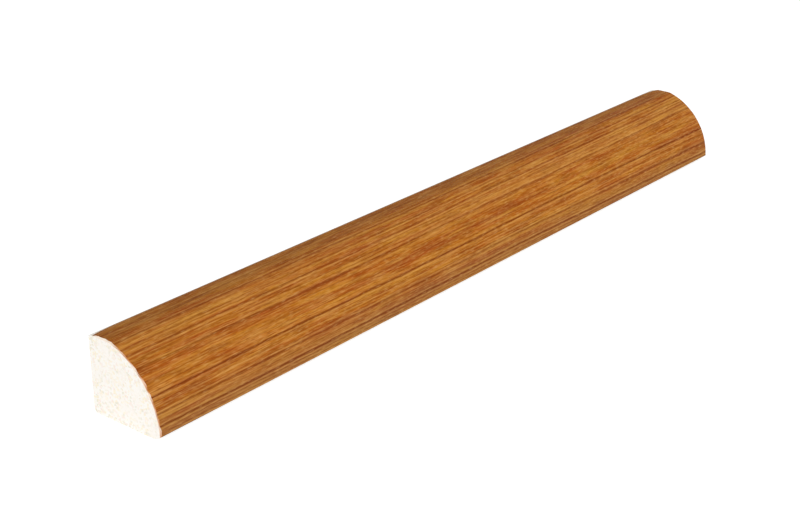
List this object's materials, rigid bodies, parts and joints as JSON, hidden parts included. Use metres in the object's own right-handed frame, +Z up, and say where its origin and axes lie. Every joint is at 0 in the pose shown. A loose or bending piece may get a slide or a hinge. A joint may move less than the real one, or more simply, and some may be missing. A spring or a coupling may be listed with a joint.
{
  "type": "quarter-round trim moulding",
  "caption": "Short length of quarter-round trim moulding: a fibreboard core with a wood-grain wrap over its curved show face, to cover the joint of floor and wall.",
  "frame": {"origin": "centre of the base, on the floor", "axes": "+X along the length, +Y towards the wall, +Z up; the curved show face looks to -Y and +Z"},
  "size_m": [0.1906, 0.0176, 0.0159],
  "materials": {
    "fibreboard": "matte",
    "wood_grain": "satin"
  },
  "bodies": {
    "root": {"fibreboard_core": "fibreboard", "wood_grain_wrap": "wood_grain"}
  },
  "joints": []
}
